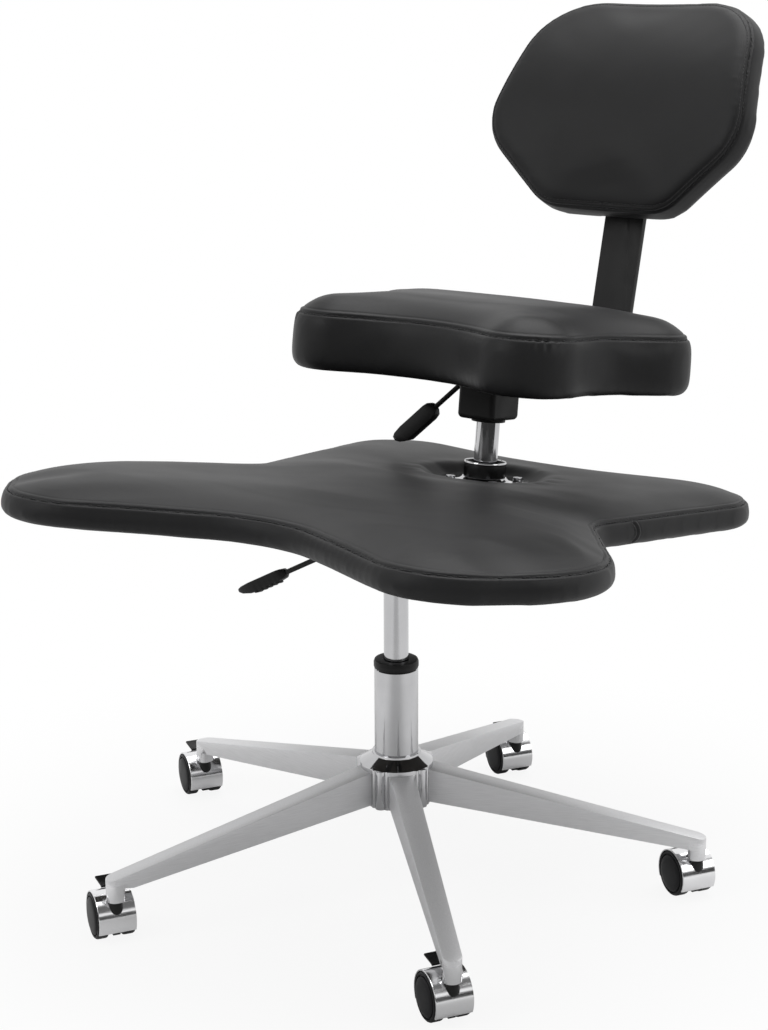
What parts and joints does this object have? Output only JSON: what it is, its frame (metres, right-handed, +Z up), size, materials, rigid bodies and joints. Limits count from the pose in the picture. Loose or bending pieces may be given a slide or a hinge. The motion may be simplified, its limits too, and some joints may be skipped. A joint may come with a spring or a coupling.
{
  "type": "cross-legged office chair",
  "caption": "Swivel chair with a wide padded leg platform and a smaller seat with backrest turning on it, each on its own gas-lift column, over a star base on twin-wheel casters.",
  "frame": {"origin": "on the floor under the lower column's axis", "axes": "+Z up, -Y the way the sitter faces, +X to the sitter's left"},
  "size_m": [0.7447, 0.9512, 0.9828],
  "materials": {
    "black_leather": "smooth satin",
    "chrome": "polished",
    "satin_aluminium": "brushed",
    "wheel_nylon": "satin",
    "black_plastic": "fine grain",
    "black_steel": "powder coat",
    "steel": "plain",
    "plywood": "bare"
  },
  "bodies": {
    "base": {"base_hub": "chrome", "base_leg_1": "satin_aluminium", "base_leg_2": "satin_aluminium", "base_leg_3": "satin_aluminium", "base_leg_4": "satin_aluminium", "base_leg_5": "satin_aluminium", "lower_tube": "chrome", "lower_bush": "black_plastic", "lower_bearing": "steel"},
    "caster_1": {"caster_body_1": "black_plastic", "caster_hood_1": "chrome"},
    "wheel_left_1": {"caster_wheel_left_1": "wheel_nylon"},
    "wheel_right_1": {"caster_wheel_right_1": "wheel_nylon"},
    "pedal_1": {"caster_pedal_1": "black_plastic"},
    "caster_2": {"caster_body_2": "black_plastic", "caster_hood_2": "chrome"},
    "wheel_left_2": {"caster_wheel_left_2": "wheel_nylon"},
    "wheel_right_2": {"caster_wheel_right_2": "wheel_nylon"},
    "pedal_2": {"caster_pedal_2": "black_plastic"},
    "caster_3": {"caster_body_3": "black_plastic", "caster_hood_3": "chrome"},
    "wheel_left_3": {"caster_wheel_left_3": "wheel_nylon"},
    "wheel_right_3": {"caster_wheel_right_3": "wheel_nylon"},
    "pedal_3": {"caster_pedal_3": "black_plastic"},
    "caster_4": {"caster_body_4": "black_plastic", "caster_hood_4": "chrome"},
    "wheel_left_4": {"caster_wheel_left_4": "wheel_nylon"},
    "wheel_right_4": {"caster_wheel_right_4": "wheel_nylon"},
    "pedal_4": {"caster_pedal_4": "black_plastic"},
    "caster_5": {"caster_body_5": "black_plastic", "caster_hood_5": "chrome"},
    "wheel_left_5": {"caster_wheel_left_5": "wheel_nylon"},
    "wheel_right_5": {"caster_wheel_right_5": "wheel_nylon"},
    "pedal_5": {"caster_pedal_5": "black_plastic"},
    "lower_rod": {"lower_rod": "steel"},
    "platform": {"lower_cylinder": "chrome", "platform_mechanism": "black_steel", "platform_board": "plywood", "platform_pad": "black_leather", "platform_bolts": "steel", "column_flange": "chrome", "flange_bolts": "chrome", "upper_tube": "chrome", "upper_bush": "black_plastic", "upper_bearing": "steel"},
    "platform_lever": {"platform_lever": "black_plastic"},
    "lower_valve_pin": {"lower_valve_pin": "steel"},
    "upper_rod": {"upper_rod": "steel"},
    "seat": {"upper_cylinder": "chrome", "seat_mechanism": "black_steel", "seat_board": "plywood", "seat_pad": "black_leather", "seat_bolts": "steel", "backrest_bar": "black_steel", "backrest_block": "black_plastic", "backrest_board": "black_plastic", "backrest_pad": "black_leather", "backrest_bolts": "steel"},
    "seat_lever": {"seat_lever": "black_plastic"},
    "upper_valve_pin": {"upper_valve_pin": "steel"}
  },
  "joints": [
    {"name": "caster_swivel_1", "type": "hinge", "parent": "base", "child": "caster_1", "pos_m": [-0.16779, -0.30145, 0.05], "axis": [0, 0, 1], "continuous": true},
    {"name": "wheel_left_spin_1", "type": "hinge", "parent": "caster_1", "child": "wheel_left_1", "pos_m": [-0.1845, -0.29047, 0.026], "axis": [0.549, 0.8358, 0], "continuous": true},
    {"name": "wheel_right_spin_1", "type": "hinge", "parent": "caster_1", "child": "wheel_right_1", "pos_m": [-0.1845, -0.29047, 0.026], "axis": [0.549, 0.8358, 0], "continuous": true},
    {"name": "pedal_press_1", "type": "hinge", "parent": "caster_1", "child": "pedal_1", "pos_m": [-0.19837, -0.28136, 0.05254], "axis": [-0.549, -0.8358, 0], "range_deg": [0, 15]},
    {"name": "caster_swivel_2", "type": "hinge", "parent": "base", "child": "caster_2", "pos_m": [0.23485, -0.25273, 0.05], "axis": [0, 0, 1], "continuous": true},
    {"name": "wheel_left_spin_2", "type": "hinge", "parent": "caster_2", "child": "wheel_left_2", "pos_m": [0.21813, -0.24175, 0.026], "axis": [0.549, 0.8358, 0], "continuous": true},
    {"name": "wheel_right_spin_2", "type": "hinge", "parent": "caster_2", "child": "wheel_right_2", "pos_m": [0.21813, -0.24175, 0.026], "axis": [0.549, 0.8358, 0], "continuous": true},
    {"name": "pedal_press_2", "type": "hinge", "parent": "caster_2", "child": "pedal_2", "pos_m": [0.20427, -0.23264, 0.05254], "axis": [-0.549, -0.8358, 0], "range_deg": [0, 15]},
    {"name": "caster_swivel_3", "type": "hinge", "parent": "base", "child": "caster_3", "pos_m": [0.31293, 0.14526, 0.05], "axis": [0, 0, 1], "continuous": true},
    {"name": "wheel_left_spin_3", "type": "hinge", "parent": "caster_3", "child": "wheel_left_3", "pos_m": [0.29621, 0.15624, 0.026], "axis": [0.549, 0.8358, 0], "continuous": true},
    {"name": "wheel_right_spin_3", "type": "hinge", "parent": "caster_3", "child": "wheel_right_3", "pos_m": [0.29621, 0.15624, 0.026], "axis": [0.549, 0.8358, 0], "continuous": true},
    {"name": "pedal_press_3", "type": "hinge", "parent": "caster_3", "child": "pedal_3", "pos_m": [0.28235, 0.16534, 0.05254], "axis": [-0.549, -0.8358, 0], "range_deg": [0, 15]},
    {"name": "caster_swivel_4", "type": "hinge", "parent": "base", "child": "caster_4", "pos_m": [-0.04145, 0.3425, 0.05], "axis": [0, 0, 1], "continuous": true},
    {"name": "wheel_left_spin_4", "type": "hinge", "parent": "caster_4", "child": "wheel_left_4", "pos_m": [-0.05816, 0.35348, 0.026], "axis": [0.549, 0.8358, 0], "continuous": true},
    {"name": "wheel_right_spin_4", "type": "hinge", "parent": "caster_4", "child": "wheel_right_4", "pos_m": [-0.05816, 0.35348, 0.026], "axis": [0.549, 0.8358, 0], "continuous": true},
    {"name": "pedal_press_4", "type": "hinge", "parent": "caster_4", "child": "pedal_4", "pos_m": [-0.07203, 0.36259, 0.05254], "axis": [-0.549, -0.8358, 0], "range_deg": [0, 15]},
    {"name": "caster_swivel_5", "type": "hinge", "parent": "base", "child": "caster_5", "pos_m": [-0.33855, 0.06642, 0.05], "axis": [0, 0, 1], "continuous": true},
    {"name": "wheel_left_spin_5", "type": "hinge", "parent": "caster_5", "child": "wheel_left_5", "pos_m": [-0.35526, 0.0774, 0.026], "axis": [0.549, 0.8358, 0], "continuous": true},
    {"name": "wheel_right_spin_5", "type": "hinge", "parent": "caster_5", "child": "wheel_right_5", "pos_m": [-0.35526, 0.0774, 0.026], "axis": [0.549, 0.8358, 0], "continuous": true},
    {"name": "pedal_press_5", "type": "hinge", "parent": "caster_5", "child": "pedal_5", "pos_m": [-0.36912, 0.08651, 0.05254], "axis": [-0.549, -0.8358, 0], "range_deg": [0, 15]},
    {"name": "platform_swivel", "type": "hinge", "parent": "base", "child": "lower_rod", "pos_m": [0, 0, 0.1], "axis": [0, 0, 1], "continuous": true},
    {"name": "platform_lift", "type": "slide", "parent": "lower_rod", "child": "platform", "axis": [0, 0, 1], "range_m": [-0.085, 0.015]},
    {"name": "platform_lever_pull", "type": "hinge", "parent": "platform", "child": "platform_lever", "pos_m": [-0.0195, -0.0051, 0.41275], "axis": [0, 0.9925, -0.1219], "range_deg": [0, 7], "stiffness_Nm_per_rad": 1, "springref_deg": -5.73},
    {"name": "lower_valve", "type": "slide", "parent": "platform", "child": "lower_valve_pin", "axis": [0, 0, 1], "range_m": [-0.0027, 0]},
    {"name": "seat_swivel", "type": "hinge", "parent": "platform", "child": "upper_rod", "pos_m": [0, 0.18858, 0.43934], "axis": [0, 0.1219, 0.9925], "continuous": true},
    {"name": "seat_lift", "type": "slide", "parent": "upper_rod", "child": "seat", "axis": [0, 0.1219, 0.9925], "range_m": [-0.008, 0.045]},
    {"name": "seat_lever_pull", "type": "hinge", "parent": "seat", "child": "seat_lever", "pos_m": [-0.02015, 0.19509, 0.5534], "axis": [0.0785, 0.9895, -0.1215], "range_deg": [0, 7], "stiffness_Nm_per_rad": 1, "springref_deg": -5.73},
    {"name": "upper_valve", "type": "slide", "parent": "seat", "child": "upper_valve_pin", "axis": [0, 0.1219, 0.9925], "range_m": [-0.0027, 0]}
  ],
  "couplings": [
    {"joint": "lower_valve", "follows": "platform_lever_pull", "m_per_rad": -0.0195},
    {"joint": "upper_valve", "follows": "seat_lever_pull", "m_per_rad": -0.0195}
  ]
}
